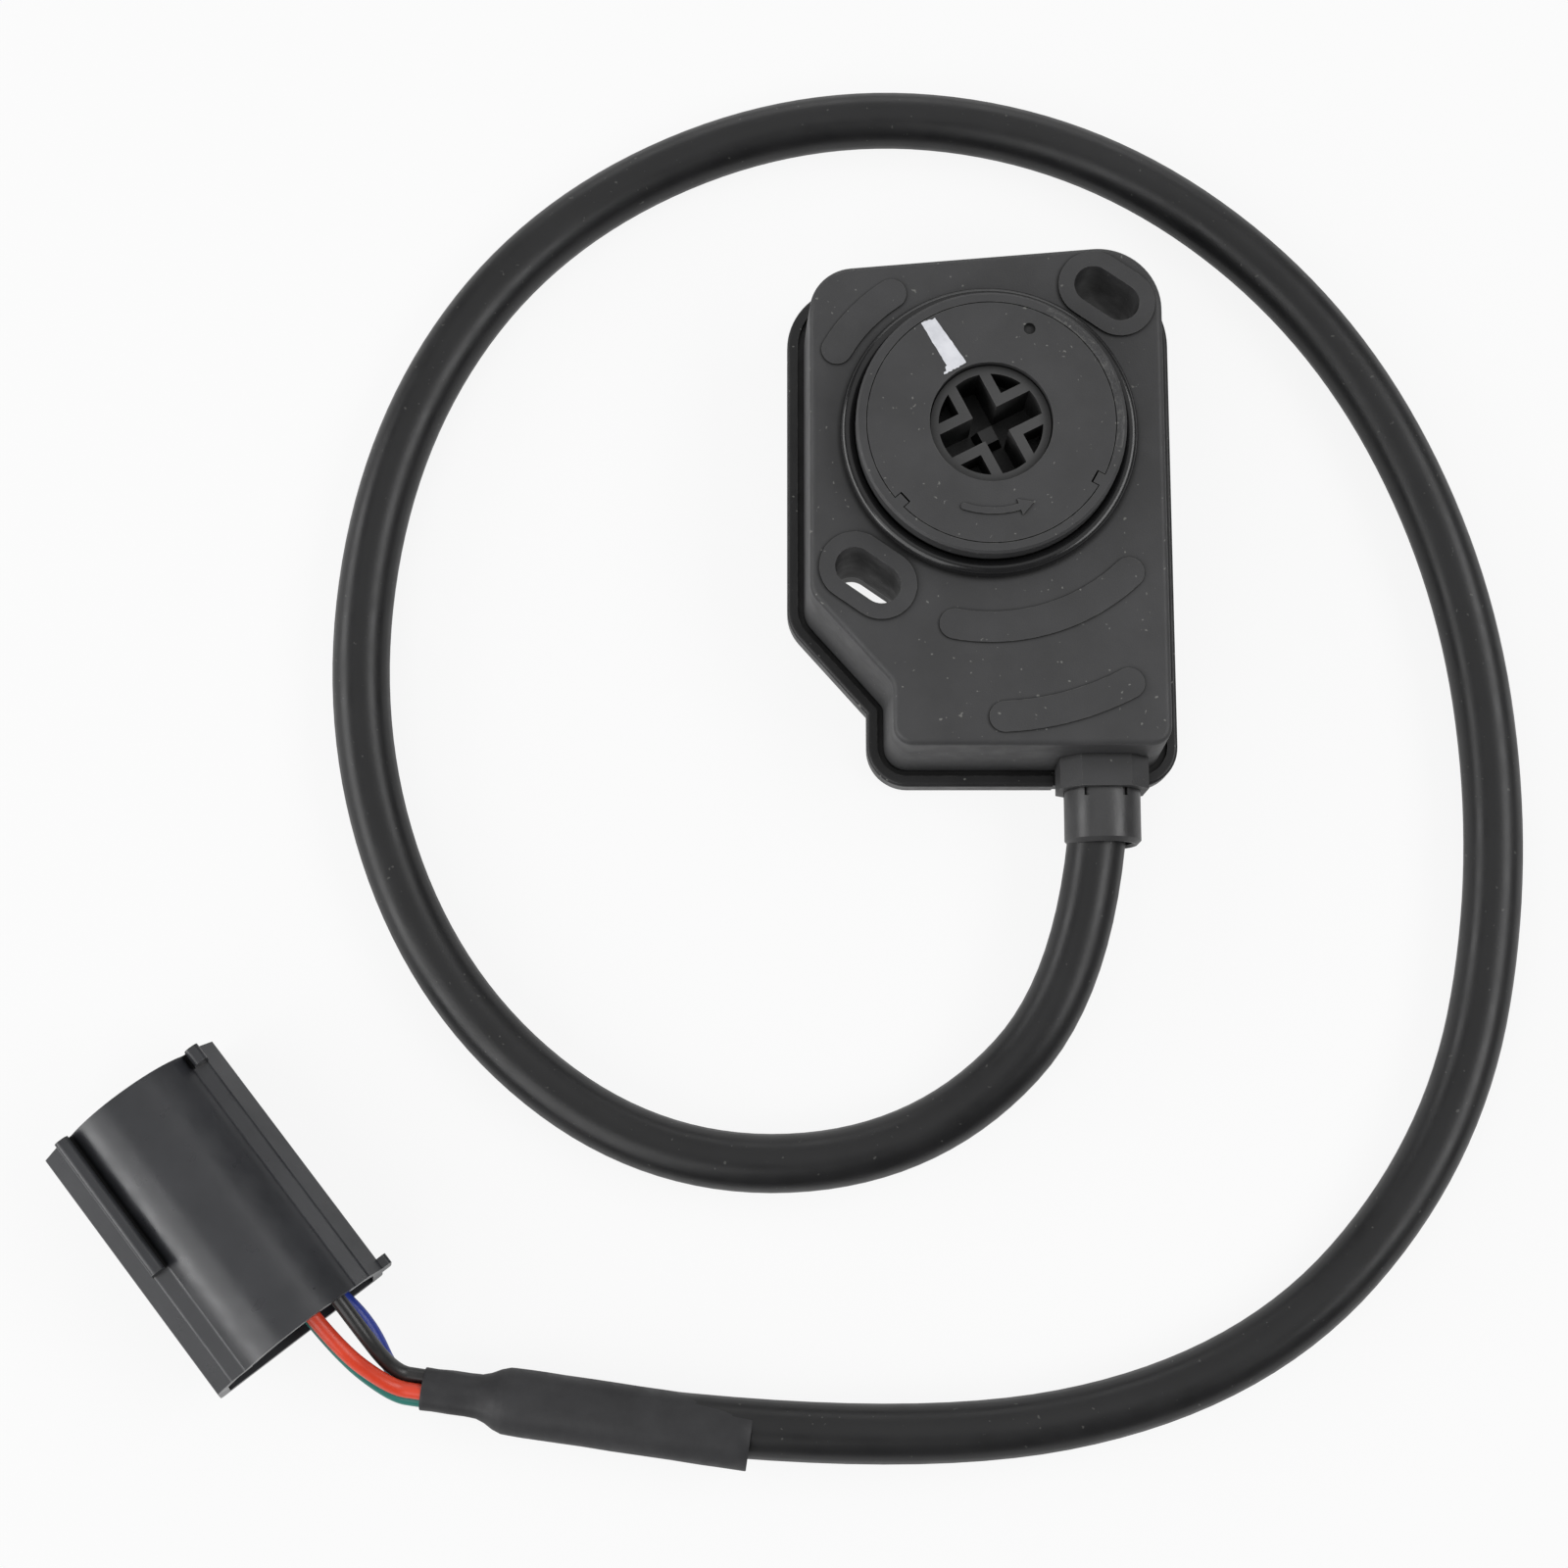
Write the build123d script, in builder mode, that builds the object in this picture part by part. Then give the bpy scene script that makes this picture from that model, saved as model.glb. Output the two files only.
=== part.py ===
"""Accelerator pedal position sensor with its lead and plug.

A moulded housing stands in a rimmed base tray. The rotor's cross-shaped socket shows in the
middle of the turret, where the pedal's shaft drives it. Inside, an arm on the rotor carries
contact fingers over a board of resistive tracks, and a torsion spring turns the rotor back.

Units are millimetres. The origin is on the rotor's axis, in the plane of the tray's underside.
+X runs across the housing, +Y away from the cable outlet and +Z out of the turret's face.
"""

import os
from math import atan2, cos, pi, radians, sin, tan

from build123d import *

os.makedirs("parts", exist_ok=True)

# Clearances
SEAM = 0.12
SEAT_GAP = 0.05
RUNNING_GAP = 0.15
JOURNAL_GAP = 0.06

# Housing, seen on its top face
BODY_WIDTH = 48.4
BODY_SHIFT = -0.1
BODY_BACK = 25.4
BODY_FRONT = 43.0
BACK_SLOPE = 4.8
STEP_LEFT = 13.2
STEP_START = 22.1
STEP_END = 34.6
BACK_LEFT_ROUND = 6.2
BACK_RIGHT_ROUND = 8.6
STEP_ROUND = 3.4
STEP_INNER_ROUND = 2.4
FRONT_ROUND = 2.6
BODY_TOP = 19.5
WALL = 2.2
ROOF = 2.4
DRAFT = 2.6
EDGE_ROUND = 0.9

# Base tray and its gasket
TRAY_FLOOR = 2.5
TRAY_RIM_TOP = 3.7
TRAY_OVERHANG = 3.1
TRAY_RIM = 1.5
TRAY_EDGE_ROUND = 0.55
TRAY_FOOT_CHAMFER = 0.4
GASKET = 0.4
GASKET_INSET = 0.25

# Mounting slots for two M5 screws
SLOT_X = 16.5
SLOT_Y = 19.9
SLOT_WIDTH = 5.3
SLOT_LENGTH = 9.7
SLOT_TURN = -35.0
BOSS_LAND = 2.15
BOSS_RISE = 0.4

# Low pads on the top face: radius, first angle and last angle about the rotor's axis
PADS = [(23.8, 123.5, 150.0), (27.0, -100.3, -46.2), (39.3, -87.5, -62.1)]
PAD_WIDTH = 4.2
PAD_RISE = 0.3

# Turret, face disc and sealing ring
TURRET_R = 18.2
TURRET_RISE = 5.5
TURRET_EDGE = 0.35
DISC_R = 16.7
DISC_THICK = 2.6
DISC_LEDGE = 1.8
KEY_ANGLES = (-138.0, -29.0)
KEY_DEPTH = 1.0
KEY_WIDTH = 1.6
DISC_COLLAR_R = 10.2
DISC_COLLAR_DEPTH = 2.8
DIMPLE_X = 5.3
DIMPLE_Y = 13.0
DIMPLE_R = 0.8
DIMPLE_DEPTH = 0.6
ARROW_R = 12.4
ARROW_TAIL = -108.0
ARROW_NECK = -70.0
ARROW_SHAFT = 0.9
ARROW_HEAD_R = 1.35
ARROW_RISE = 0.25
RING_SECTION = 2.2
RING_GROOVE_DEPTH = 0.2
RING_GROOVE_WIDTH = 2.65

# Rotor
ROTOR_R = 8.15
ROTOR_RECESS = 1.2
ROTOR_BARREL = 10.6
ROTOR_RING_WALL = 1.1
CROSS_TURN = 27.0
CROSS_ARM = 3.6
CROSS_WALL = 1.4
SOCKET_DEPTH = 8.4
SOCKET_POST = 3.2
SOCKET_POST_RISE = 3.0
SOCKET_POST_TAPER = 10.0
POCKET_DEPTH = 5.0
FLANGE_R = 10.2
FLANGE_THICK = 1.6
SEAL_THICK = 0.6
HUB_R = 5.0
CARRIER_SEAT_R = 4.0
CARRIER_SEAT = 3.4
JOURNAL_R = 3.0
JOURNAL_LENGTH = 4.2

# Wiper arm and contact fingers
CARRIER_RING_R = 7.4
CARRIER_THICK = 1.8
ARM_REACH = 13.6
ARM_WIDTH = 7.0
ARM_TURN = -80.0
FINGER_WIDTH = 1.2
FINGER_THICK = 0.3
FINGER_PITCH = 2.2
FINGER_LENGTH = 4.5

# Return spring, flat wire
SPRING_WIRE = 0.9
SPRING_R = 9.5
SPRING_PITCH = 1.5
SPRING_TURNS = 3.5

# Track board on the tray's posts
BOARD_Z = 5.4
BOARD_THICK = 1.2
BOARD_R = 15.0
BOARD_LEFT = 8.0
BOARD_RIGHT = 20.8
BOARD_STANDOFF = 8.2
BEARING_R = 4.6
BOARD_POSTS = [(-9.0, 9.0), (17.5, -13.0)]
POST_R = 2.1
SCREW_R = 1.0
SCREW_HEAD_R = 1.9
SCREW_HEAD = 1.2
SCREW_SLOT = 0.5
SCREW_REACH = 4.0
TERMINALS = 4
TERMINAL_INSET = 2.3
TERMINAL_PITCH = 3.0
TERMINAL_SIDE = 0.8
TERMINAL_BELOW = 1.0
TERMINAL_ABOVE = 4.4

# Cable outlet
OUTLET_X = 15.9
OUTLET_Z = 7.9
NECK_WIDTH = 12.1
NECK_CHAMFER = 2.7
NECK_LENGTH = 4.6
NECK_GAP = 0.2
NECK_BORE_R = 4.5
COLLAR_R = 5.25
COLLAR_LENGTH = 7.4
COLLAR_SPIGOT = 3.0
COLLAR_CHAMFER = 0.6
COLLAR_MOUTH = 0.35
COLLAR_NOTCHES = 6
COLLAR_NOTCH_WIDTH = 0.7
COLLAR_NOTCH_DEPTH = 0.4
COLLAR_NOTCH_LENGTH = 1.1
JACKET_INSET = 2.8

# Cable, sleeve and single wires
CABLE_D = 8.0
WIRE_D = 2.1
SLEEVE_MOUTH = (-32.3, -134.2)
SLEEVE_TURN = 171.7
SLEEVE_R = 4.5
SLEEVE_FULL = 33.5
SLEEVE_SHOULDER = 3.0
SLEEVE_LENGTH = 44.2
SLEEVE_NECK_R = 3.0
SLEEVE_WALL = 0.35
SLEEVE_APPROACH = 16.4
# Shares of the shorter run that an arc of a cord takes up on either side of its corner
ARC_SHARE = 0.45
LEAD_OUT = 4.2
LEAD_IN = 4.0
# Angle of each wire round the sleeve's axis, and its lean across the plug on the way in
BUNDLE_ANGLES = {"red": 105, "black": 15, "blue": 285, "green": 195}
WIRE_LEAN = {"red": 0, "black": 0, "blue": 1.9, "green": 0}
# Cable cores inside the housing
INNER_STRAIGHT = 2.0
INNER_APPROACH = 3.4
INNER_BEND = 2.2
INNER_LIFT = 0.4
INNER_STEP = 1.6

# Plug, lying on its lower right edge and its latch
PLUG_X = -116.6
PLUG_Y = -91.0
PLUG_TURN = -51.6
PLUG_WIDTH = 26.4
PLUG_LENGTH = 38.4
PLUG_SIDE = 9.0
PLUG_SLANT = 2.3
PLUG_SLANT_RISE = 3.2
PLUG_ARCH_WIDTH = 17.4
PLUG_ARCH_FOOT = 12.9
PLUG_ARCH_TOP = 17.4
PLUG_EDGE = 0.7
PLUG_WALL = 1.6
SHROUD_DEPTH = 20.0
GUIDE_WIDTH = 2.0
GUIDE_ROOT = 10.5
GUIDE_TOP = 14.9
GUIDE_LENGTH = 21.5
GUIDE_OFFSET = 10.1
GUIDE_ROUND = 0.8
TAB_LENGTH = 2.4
LIP_REACH = 1.4
LIP_FOOT = 4.0
LIP_THICK = 1.5
LIP_ROUND = 0.6
LATCH_WIDTH = 7.0
LATCH_RISE = 2.0
LATCH_LENGTH = 18.0
LATCH_START = 3.0
SKIRT_DEPTH = 5.0
WAYS_IN_ROW = 4
WAY_PITCH = 4.0
WAY_ROWS = (5.2, 11.0)
WAY_SIDE = 3.2
WAY_DEPTH = 12.0
BLADE_WIDTH = 2.2
BLADE_THICK = 0.7
BLADE_FREE = 9.0
BARREL_SIDE = 2.4
BARREL_LENGTH = 4.0

# Heights and places that follow
BODY_LEFT = BODY_WIDTH / 2 - BODY_SHIFT
BODY_RIGHT = BODY_WIDTH / 2 + BODY_SHIFT
NECK_REACH = BODY_FRONT + NECK_LENGTH
JACKET_END = BODY_FRONT - WALL - JACKET_INSET
BOARD_FRONT = JACKET_END - BOARD_STANDOFF
TERMINAL_Y = TERMINAL_INSET - BOARD_FRONT
FOOT = TRAY_FLOOR + GASKET
FOOT_GROWTH = (BODY_TOP - FOOT) * tan(radians(DRAFT))
CEILING = BODY_TOP - ROOF
FACE = BODY_TOP + TURRET_RISE
LEDGE = FACE - DISC_THICK
DISC_BORE_R = ROTOR_R + RUNNING_GAP
COLLAR_FOOT = LEDGE - DISC_COLLAR_DEPTH
ROTOR_FACE = FACE - ROTOR_RECESS
FLANGE_TOP = COLLAR_FOOT - SEAL_THICK - RUNNING_GAP
BARREL_FOOT = ROTOR_FACE - ROTOR_BARREL
BEARING_TOP = BOARD_Z + BOARD_THICK + SEAT_GAP
SEAT_FOOT = BEARING_TOP + RUNNING_GAP
HUB_FOOT = SEAT_FOOT + CARRIER_SEAT
BOARD_TOP = BOARD_Z + BOARD_THICK
CABLE_R = CABLE_D / 2
WIRE_R = WIRE_D / 2
SLOTS = [(SLOT_X, SLOT_Y), (-SLOT_X, -SLOT_Y)]
BOSS_LENGTH = SLOT_LENGTH + 2 * BOSS_LAND
BOSS_WIDTH = SLOT_WIDTH + 2 * BOSS_LAND
NECK_NOTCH_Y = BODY_FRONT + FOOT_GROWTH + NECK_GAP

back_rise = tan(radians(BACK_SLOPE))
OUTLINE = [
    (-BODY_LEFT, BODY_BACK - BODY_LEFT * back_rise),
    (-BODY_LEFT, -STEP_START),
    (-STEP_LEFT, -STEP_END),
    (-STEP_LEFT, -BODY_FRONT),
    (BODY_RIGHT, -BODY_FRONT),
    (BODY_RIGHT, BODY_BACK + BODY_RIGHT * back_rise),
]
OUTLINE_ROUNDS = [
    BACK_LEFT_ROUND,
    STEP_ROUND,
    STEP_INNER_ROUND,
    FRONT_ROUND,
    FRONT_ROUND,
    BACK_RIGHT_ROUND,
]


def housing_outline(growth):
    """Draw the housing's outline, moved outwards by growth, into the sketch that calls this."""
    with BuildLine() as edge:
        FilletPolyline(*OUTLINE, radius=OUTLINE_ROUNDS, close=True)
    make_face(edge.edges())
    if growth:
        offset(amount=growth)


def mounting_slots(extra, mode):
    """Draw both slots, wider and longer by extra, into the sketch that calls this."""
    with Locations(*SLOTS):
        SlotOverall(SLOT_LENGTH + extra, SLOT_WIDTH + extra, rotation=SLOT_TURN, mode=mode)


def rounded_route(points, first_reach=None, last_reach=None):
    """Give the corner radii of a cord's route, as large as its runs leave room for."""
    corners = [Vector(*point) for point in points]
    runs = [b - a for a, b in zip(corners, corners[1:])]
    radii = []
    for before, after in zip(runs, runs[1:]):
        reach = ARC_SHARE * min(before.length, after.length)
        if first_reach and before is runs[0]:
            reach = min(reach, first_reach)
        if last_reach and after is runs[-1]:
            reach = min(reach, last_reach)
        radii.append(reach / tan(radians(before.get_angle(after) / 2)))
    return radii


# Hollow under the housing's roof, round the two slot bosses
with BuildSketch() as hollow:
    housing_outline(-WALL)
    mounting_slots(2 * BOSS_LAND, Mode.SUBTRACT)

# Housing
with BuildPart() as housing:
    with BuildSketch(Plane.XY.offset(FOOT)):
        housing_outline(FOOT_GROWTH)
    extrude(amount=BODY_TOP - FOOT, taper=DRAFT)
    fillet(housing.faces().sort_by(Axis.Z)[-1].edges(), EDGE_ROUND)
    # Cable neck, with its part below the foot kept outside the tray's notch
    with BuildSketch(Plane.XZ.offset(BODY_FRONT - WALL)):
        with Locations((OUTLET_X, OUTLET_Z)):
            Rectangle(NECK_WIDTH, NECK_WIDTH)
        chamfer(vertices(), NECK_CHAMFER)
    extrude(amount=NECK_REACH - BODY_FRONT + WALL)
    with BuildSketch(Plane.XY.offset(FOOT)):
        with Locations((OUTLET_X, -NECK_NOTCH_Y)):
            Rectangle(NECK_WIDTH + NECK_GAP, NECK_NOTCH_Y, align=(Align.CENTER, Align.MIN))
    extrude(amount=-FOOT, mode=Mode.SUBTRACT)
    # Turret, slot bosses and pads
    with BuildSketch(Plane.XY.offset(CEILING)):
        Circle(TURRET_R)
    extrude(amount=FACE - CEILING)
    chamfer(housing.faces().sort_by(Axis.Z)[-1].edges(), TURRET_EDGE)
    with BuildSketch(Plane.XY.offset(BODY_TOP)):
        Circle(TURRET_R + RING_SECTION)
        Circle(TURRET_R - RING_GROOVE_DEPTH, mode=Mode.SUBTRACT)
    extrude(amount=RING_GROOVE_WIDTH, mode=Mode.SUBTRACT)
    with BuildSketch(Plane.XY.offset(CEILING)):
        mounting_slots(2 * BOSS_LAND, Mode.ADD)
    extrude(amount=ROOF + BOSS_RISE)
    with BuildSketch(Plane.XY.offset(CEILING)):
        for radius, first, last in PADS:
            pad = CenterArc((0, 0), radius, first, last - first)
            SlotArc(pad, PAD_WIDTH)
    extrude(amount=ROOF + PAD_RISE)
    # Hollow, slots, cable bore and the disc's stepped seat
    with BuildSketch(Plane.XY.offset(FOOT)):
        add(hollow.sketch)
    extrude(amount=CEILING - FOOT, mode=Mode.SUBTRACT)
    with BuildSketch(Plane.XY):
        mounting_slots(0, Mode.ADD)
    extrude(amount=FACE, mode=Mode.SUBTRACT)
    with BuildSketch(Plane.XZ.offset(NECK_REACH)):
        with Locations((OUTLET_X, OUTLET_Z)):
            Circle(NECK_BORE_R)
    extrude(amount=BODY_FRONT - WALL - NECK_REACH, mode=Mode.SUBTRACT)
    with BuildSketch(Plane.XY.offset(LEDGE)):
        Circle(DISC_R + SEAM)
        for angle in KEY_ANGLES:
            with PolarLocations(DISC_R + SEAM, 1, start_angle=angle):
                Rectangle(2 * KEY_DEPTH, KEY_WIDTH, mode=Mode.SUBTRACT)
    extrude(amount=DISC_THICK, mode=Mode.SUBTRACT)
    with BuildSketch(Plane.XY.offset(CEILING)):
        Circle(DISC_R - DISC_LEDGE)
    extrude(amount=LEDGE - CEILING, mode=Mode.SUBTRACT)
housing.part.label = "housing"

# Base tray: floor, rim, rotor bearing and board posts
with BuildPart() as base_tray:
    with BuildSketch(Plane.XY):
        housing_outline(TRAY_OVERHANG)
    extrude(amount=TRAY_RIM_TOP)
    fillet(base_tray.faces().sort_by(Axis.Z)[-1].edges(), TRAY_EDGE_ROUND)
    chamfer(base_tray.faces().sort_by(Axis.Z)[0].edges(), TRAY_FOOT_CHAMFER)
    with BuildSketch(Plane.XY.offset(TRAY_FLOOR)):
        housing_outline(TRAY_OVERHANG - TRAY_RIM)
    extrude(amount=TRAY_RIM_TOP, mode=Mode.SUBTRACT)
    with BuildSketch(Plane.XY):
        mounting_slots(SEAM, Mode.ADD)
    extrude(amount=TRAY_RIM_TOP, mode=Mode.SUBTRACT)
    with BuildSketch(Plane.XY):
        with Locations((OUTLET_X, -NECK_NOTCH_Y + NECK_GAP / 2)):
            Rectangle(NECK_WIDTH + 2 * NECK_GAP, NECK_WIDTH, align=(Align.CENTER, Align.MAX))
    extrude(amount=TRAY_RIM_TOP, mode=Mode.SUBTRACT)
    with BuildSketch(Plane.XY.offset(TRAY_FLOOR)):
        Circle(BEARING_R)
    extrude(amount=BEARING_TOP - TRAY_FLOOR)
    with BuildSketch(Plane.XY.offset(TRAY_FLOOR)):
        with Locations(*BOARD_POSTS):
            Circle(POST_R)
    extrude(amount=BOARD_Z - TRAY_FLOOR)
    with BuildSketch(Plane.XY.offset(BEARING_TOP)):
        Circle(JOURNAL_R + JOURNAL_GAP)
    extrude(amount=TRAY_FLOOR - BEARING_TOP, mode=Mode.SUBTRACT)
    with BuildSketch(Plane.XY.offset(BOARD_Z)):
        with Locations(*BOARD_POSTS):
            Circle(SCREW_R + SEAT_GAP)
    extrude(amount=BOARD_TOP - BOARD_Z - SCREW_REACH, mode=Mode.SUBTRACT)
base_tray.part.label = "base_tray"

# Flat gasket between the housing's foot and the tray
with BuildPart() as tray_gasket:
    with BuildSketch(Plane.XY.offset(TRAY_FLOOR)):
        housing_outline(FOOT_GROWTH - GASKET_INSET)
        add(hollow.sketch, mode=Mode.SUBTRACT)
        mounting_slots(SEAM, Mode.SUBTRACT)
    extrude(amount=GASKET)
tray_gasket.part.label = "tray_gasket"

# Face disc with its keys, bearing collar, dimple and arrow
with BuildPart() as face_disc:
    with BuildSketch(Plane.XY.offset(LEDGE)):
        Circle(DISC_R)
        for angle in KEY_ANGLES:
            with PolarLocations(DISC_R, 1, start_angle=angle):
                Rectangle(2 * (KEY_DEPTH + SEAM), KEY_WIDTH + 2 * SEAM, mode=Mode.SUBTRACT)
    extrude(amount=DISC_THICK)
    with BuildSketch(Plane.XY.offset(LEDGE)):
        Circle(DISC_COLLAR_R)
    extrude(amount=-DISC_COLLAR_DEPTH)
    with BuildSketch(Plane.XY.offset(COLLAR_FOOT)):
        Circle(DISC_BORE_R)
    extrude(amount=FACE - COLLAR_FOOT, mode=Mode.SUBTRACT)
    with BuildSketch(Plane.XY.offset(FACE)):
        with Locations((DIMPLE_X, DIMPLE_Y)):
            Circle(DIMPLE_R)
    extrude(amount=-DIMPLE_DEPTH, mode=Mode.SUBTRACT)
    with BuildSketch(Plane.XY.offset(FACE)):
        shaft = CenterArc((0, 0), ARROW_R, ARROW_TAIL, ARROW_NECK - ARROW_TAIL)
        SlotArc(shaft, ARROW_SHAFT)
        with PolarLocations(ARROW_R, 1, start_angle=ARROW_NECK):
            RegularPolygon(ARROW_HEAD_R, 3, rotation=90)
    extrude(amount=ARROW_RISE)
face_disc.part.label = "face_disc"

# Rubber ring in the groove at the turret's foot
ring_r = RING_SECTION / 2
ring_inner = TURRET_R - RING_GROOVE_DEPTH + SEAT_GAP
with BuildPart() as turret_ring:
    with BuildSketch(Plane.XZ):
        with Locations((ring_inner + ring_r, BODY_TOP + SEAT_GAP + ring_r)):
            Circle(ring_r)
    revolve(axis=Axis.Z)
turret_ring.part.label = "turret_ring"

# Rotor: barrel with flange, hub, carrier seat and journal, then the cross-shaped socket
with BuildPart() as rotor:
    with BuildSketch(Plane.XZ):
        with BuildLine():
            Polyline(
                (0, ROTOR_FACE),
                (ROTOR_R, ROTOR_FACE),
                (ROTOR_R, FLANGE_TOP),
                (FLANGE_R, FLANGE_TOP),
                (FLANGE_R, FLANGE_TOP - FLANGE_THICK),
                (ROTOR_R, FLANGE_TOP - FLANGE_THICK),
                (ROTOR_R, BARREL_FOOT),
                (HUB_R, BARREL_FOOT),
                (HUB_R, HUB_FOOT),
                (CARRIER_SEAT_R, HUB_FOOT),
                (CARRIER_SEAT_R, SEAT_FOOT),
                (JOURNAL_R, SEAT_FOOT),
                (JOURNAL_R, SEAT_FOOT - JOURNAL_LENGTH),
                (0, SEAT_FOOT - JOURNAL_LENGTH),
                close=True,
            )
        make_face()
    revolve(axis=Axis.Z)
    with BuildSketch(Plane.XY.offset(ROTOR_FACE)):
        Rectangle(2 * ROTOR_R, CROSS_ARM, rotation=CROSS_TURN)
        Rectangle(CROSS_ARM, 2 * ROTOR_R, rotation=CROSS_TURN)
        Circle(ROTOR_R - ROTOR_RING_WALL, mode=Mode.INTERSECT)
    extrude(amount=-SOCKET_DEPTH, mode=Mode.SUBTRACT)
    with BuildSketch(Plane.XY.offset(ROTOR_FACE)):
        Circle(ROTOR_R - ROTOR_RING_WALL)
        walled_arm = CROSS_ARM + 2 * CROSS_WALL
        Rectangle(2 * ROTOR_R, walled_arm, rotation=CROSS_TURN, mode=Mode.SUBTRACT)
        Rectangle(walled_arm, 2 * ROTOR_R, rotation=CROSS_TURN, mode=Mode.SUBTRACT)
    extrude(amount=-POCKET_DEPTH, mode=Mode.SUBTRACT)
    with BuildSketch(Plane.XY.offset(ROTOR_FACE - SOCKET_DEPTH)):
        Rectangle(SOCKET_POST, SOCKET_POST, rotation=CROSS_TURN)
    extrude(amount=SOCKET_POST_RISE, taper=SOCKET_POST_TAPER)
rotor.part.label = "rotor"

# Washer that seals the rotor's flange against the disc's collar
with BuildPart() as rotor_seal:
    with BuildSketch(Plane.XY.offset(COLLAR_FOOT)):
        Circle(DISC_COLLAR_R)
        Circle(DISC_BORE_R, mode=Mode.SUBTRACT)
    extrude(amount=-SEAL_THICK)
rotor_seal.part.label = "rotor_seal"

# Arm on the rotor's hub
with BuildPart() as wiper_carrier:
    with BuildSketch(Plane.XY.offset(HUB_FOOT)):
        Circle(CARRIER_RING_R)
        with PolarLocations(0, 1, start_angle=ARM_TURN):
            Rectangle(ARM_REACH, ARM_WIDTH, align=(Align.MIN, Align.CENTER))
        Circle(CARRIER_SEAT_R + SEAT_GAP, mode=Mode.SUBTRACT)
    extrude(amount=-CARRIER_THICK)
wiper_carrier.part.label = "wiper_carrier"

# Sprung fingers under the arm, bent down to the tracks
arm_foot = HUB_FOOT - CARRIER_THICK
finger_tip = BOARD_TOP + RUNNING_GAP
arm_plane = Plane.XZ.rotated((0, 0, ARM_TURN))
with BuildPart() as wiper_contacts:
    for side in (-1, 0, 1):
        with BuildSketch(arm_plane.offset(side * FINGER_PITCH - FINGER_WIDTH / 2)):
            with BuildLine():
                Polyline(
                    (ARM_REACH - FINGER_LENGTH, arm_foot),
                    (ARM_REACH - FINGER_LENGTH, arm_foot - FINGER_THICK),
                    (ARM_REACH - FINGER_LENGTH / 3, arm_foot - FINGER_THICK),
                    (ARM_REACH - FINGER_LENGTH / 3, finger_tip),
                    (ARM_REACH - FINGER_LENGTH / 3 + FINGER_THICK, finger_tip),
                    (ARM_REACH - FINGER_LENGTH / 3 + FINGER_THICK, arm_foot),
                    close=True,
                )
            make_face()
        extrude(amount=FINGER_WIDTH)
wiper_contacts.part.label = "wiper_contacts"

# Return spring of flat wire, between the arm and the rotor's flange
spring_foot = HUB_FOOT + SEAT_GAP + SPRING_WIRE / 2
with BuildPart() as return_spring:
    with BuildLine():
        coil = Helix(
            SPRING_PITCH, SPRING_PITCH * SPRING_TURNS, SPRING_R, center=(0, 0, spring_foot)
        )
    with BuildSketch(Plane(coil @ 0, x_dir=(1, 0, 0), z_dir=coil % 0)):
        Rectangle(SPRING_WIRE, SPRING_WIRE)
    sweep(is_frenet=True)
return_spring.part.label = "return_spring"

# Board of resistive tracks round the bearing
with BuildPart() as track_board:
    with BuildSketch(Plane.XY.offset(BOARD_Z)):
        Circle(BOARD_R)
        with Locations((BOARD_LEFT, -BOARD_FRONT)):
            Rectangle(BOARD_RIGHT - BOARD_LEFT, BOARD_FRONT, align=(Align.MIN, Align.MIN))
        Circle(BEARING_R + SEAT_GAP, mode=Mode.SUBTRACT)
        with Locations(*BOARD_POSTS):
            Circle(SCREW_R + SEAT_GAP, mode=Mode.SUBTRACT)
        with Locations((OUTLET_X, TERMINAL_Y)):
            with GridLocations(TERMINAL_PITCH, 0, TERMINALS, 1):
                terminal_hole = TERMINAL_SIDE + 2 * SEAT_GAP
                Rectangle(terminal_hole, terminal_hole, mode=Mode.SUBTRACT)
    extrude(amount=BOARD_THICK)
track_board.part.label = "track_board"

# Two slotted screws that hold the board on its posts
with BuildPart() as board_screws:
    with BuildSketch(Plane.XY.offset(BOARD_TOP)):
        with Locations(*BOARD_POSTS):
            Circle(SCREW_HEAD_R)
    extrude(amount=SCREW_HEAD)
    with BuildSketch(Plane.XY.offset(BOARD_TOP)):
        with Locations(*BOARD_POSTS):
            Circle(SCREW_R)
    extrude(amount=-SCREW_REACH)
    with BuildSketch(Plane.XY.offset(BOARD_TOP + SCREW_HEAD)):
        with Locations(*BOARD_POSTS):
            Rectangle(2 * SCREW_HEAD_R, SCREW_SLOT)
    extrude(amount=-SCREW_HEAD / 2, mode=Mode.SUBTRACT)
board_screws.part.label = "board_screws"

# Four solder pins through the board
with BuildPart() as board_terminals:
    with BuildSketch(Plane.XY.offset(BOARD_Z - TERMINAL_BELOW)):
        with Locations((OUTLET_X, TERMINAL_Y)):
            with GridLocations(TERMINAL_PITCH, 0, TERMINALS, 1):
                Rectangle(TERMINAL_SIDE, TERMINAL_SIDE)
    extrude(amount=TERMINAL_BELOW + BOARD_THICK + TERMINAL_ABOVE)
board_terminals.part.label = "board_terminals"

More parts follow.
